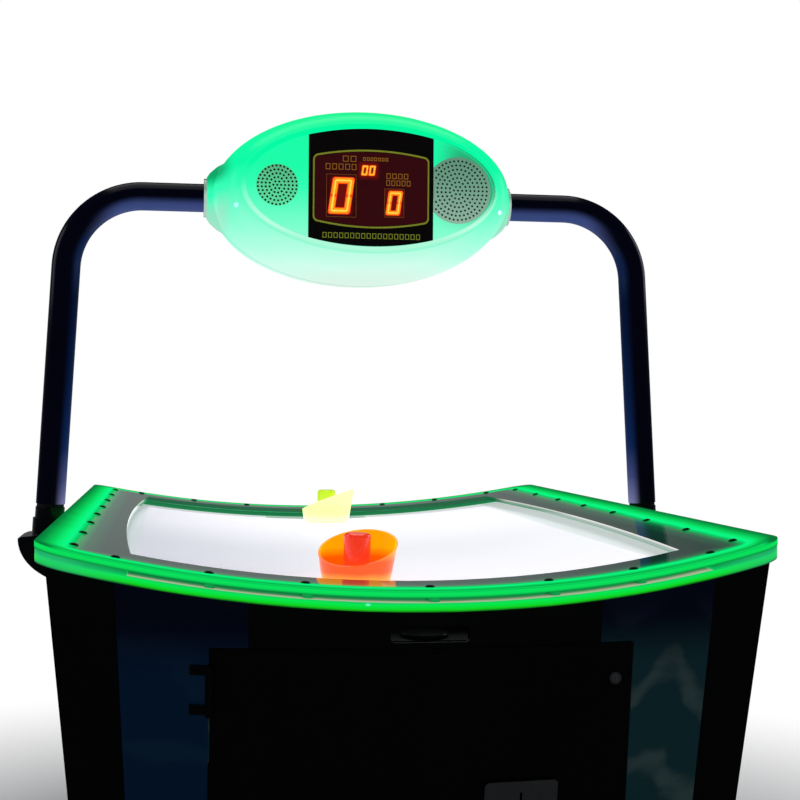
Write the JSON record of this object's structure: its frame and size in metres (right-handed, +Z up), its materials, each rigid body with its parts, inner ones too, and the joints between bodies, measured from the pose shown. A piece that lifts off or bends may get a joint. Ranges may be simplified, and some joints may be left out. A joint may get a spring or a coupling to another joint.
{
  "type": "air hockey table",
  "caption": "Air hockey table with trough-shaped playfield, smoked cover window, lit rim, leaning cabinet with service doors, scoreboard arch, mallets and puck.",
  "frame": {"origin": "on the floor under the middle of the table", "axes": "+X across the table to the near player's right, +Y along the table from the near player to the far player, +Z up"},
  "size_m": [1.408, 1.966, 1.703],
  "materials": {
    "tinted_cover": "glossy smoked",
    "light_ring": "translucent, lit green",
    "lamp": "lit",
    "playfield": "smooth laminate",
    "rail": "translucent white",
    "board": "black laminate board",
    "artwork": "gloss laminated artwork",
    "black_steel": "satin powder coat",
    "arch_paint": "gloss navy black",
    "socket": "gloss black enamel",
    "steel": "zinc",
    "screw": "black oxide",
    "chrome": "polished",
    "alu": "mill",
    "rubber": "matte",
    "sign_shell": "translucent, lit green",
    "collar": "clear",
    "display": "black gloss",
    "pcb": "solder mask",
    "speaker": "perforated grille",
    "black_plastic": "fine texture",
    "near_cup": "translucent orange",
    "near_knob": "orange red",
    "far_cup": "translucent pale lime",
    "far_knob": "lime",
    "felt": "felt",
    "puck": "gloss"
  },
  "bodies": {
    "table": {"arch_joint_rings": "rubber", "blower_housing": "black_plastic", "blower_motor": "steel", "bottom_board": "board", "corner_posts": "board", "cover_plate": "tinted_cover", "cover_screws": "screw", "cover_spacers": "screw", "deck_frame": "board", "display_boards": "pcb", "door_hinges": "black_steel", "end_panels": "artwork", "end_rails": "rail", "far_display_window": "display", "far_hatch": "black_steel", "game_board": "pcb", "goal_chutes": "black_plastic", "left_arch_tube": "arch_paint", "left_socket": "socket", "light_ring": "light_ring", "mains_inlet": "black_plastic", "near_display_window": "display", "near_hatch": "black_steel", "playfield": "playfield", "plenum_box": "board", "plinth": "board", "power_supply": "alu", "right_arch_tube": "arch_paint", "right_socket": "socket", "rim_leds": "lamp", "side_panels": "artwork", "side_rails": "rail", "sign_collars": "collar", "sign_far_shell": "sign_shell", "sign_frames": "steel", "sign_lamps": "lamp", "sign_near_shell": "sign_shell", "sign_screws": "steel", "sign_spine": "steel", "speakers": "speaker"},
    "near_door": {"near_door": "black_steel", "near_lock_barrel": "chrome", "coin_entry": "steel"},
    "far_door": {"far_door": "black_steel", "far_lock_barrel": "chrome"},
    "near_lock": {"near_lock_core": "chrome"},
    "far_lock": {"far_lock_core": "chrome"},
    "reject_button": {"reject_button": "black_plastic"},
    "impeller": {"impeller": "alu"},
    "near_left_foot": {"near_left_foot": "rubber"},
    "near_right_foot": {"near_right_foot": "rubber"},
    "far_left_foot": {"far_left_foot": "rubber"},
    "far_right_foot": {"far_right_foot": "rubber"},
    "near_mallet": {"near_mallet_cup": "near_cup", "near_mallet_knob": "near_knob", "near_mallet_felt": "felt"},
    "far_mallet": {"far_mallet_cup": "far_cup", "far_mallet_knob": "far_knob", "far_mallet_felt": "felt"},
    "puck": {"puck": "puck"}
  },
  "joints": [
    {"name": "near_door_hinge", "type": "hinge", "parent": "table", "child": "near_door", "pos_m": [-0.333, -0.87658, 0.479], "axis": [0, 0.1444, -0.9895], "range_deg": [0, 105]},
    {"name": "far_door_hinge", "type": "hinge", "parent": "table", "child": "far_door", "pos_m": [0.333, 0.87658, 0.479], "axis": [0, -0.1444, -0.9895], "range_deg": [0, 105]},
    {"name": "near_lock_turn", "type": "hinge", "parent": "near_door", "child": "near_lock", "pos_m": [0.302, -0.89938, 0.651], "axis": [0, 1, 0], "range_deg": [0, 90]},
    {"name": "far_lock_turn", "type": "hinge", "parent": "far_door", "child": "far_lock", "pos_m": [-0.302, 0.89938, 0.651], "axis": [0, -1, 0], "range_deg": [0, 90]},
    {"name": "reject_button_press", "type": "slide", "parent": "near_door", "child": "reject_button", "axis": [-0.0863, 0.9858, 0.1444], "range_m": [0, 0.004], "stiffness_N_per_m": 250},
    {"name": "impeller_spin", "type": "hinge", "parent": "table", "child": "impeller", "pos_m": [0, 0.09, 0.47], "axis": [0, 0, 1], "continuous": true},
    {"name": "near_left_foot_screw", "type": "slide", "parent": "table", "child": "near_left_foot", "axis": [0, 0, -1], "range_m": [0, 0.02]},
    {"name": "near_right_foot_screw", "type": "slide", "parent": "table", "child": "near_right_foot", "axis": [0, 0, -1], "range_m": [0, 0.02]},
    {"name": "far_left_foot_screw", "type": "slide", "parent": "table", "child": "far_left_foot", "axis": [0, 0, -1], "range_m": [0, 0.02]},
    {"name": "far_right_foot_screw", "type": "slide", "parent": "table", "child": "far_right_foot", "axis": [0, 0, -1], "range_m": [0, 0.02]},
    {"name": "near_mallet_slide", "type": "slide", "parent": "table", "child": "near_mallet", "axis": [0, 1, 0], "range_m": [-0.1, 0.56]},
    {"name": "far_mallet_slide", "type": "slide", "parent": "table", "child": "far_mallet", "axis": [0, -1, 0], "range_m": [-0.035, 0.63]},
    {"name": "puck_slide", "type": "slide", "parent": "table", "child": "puck", "axis": [0, -1, 0], "range_m": [0, 0.12]}
  ]
}
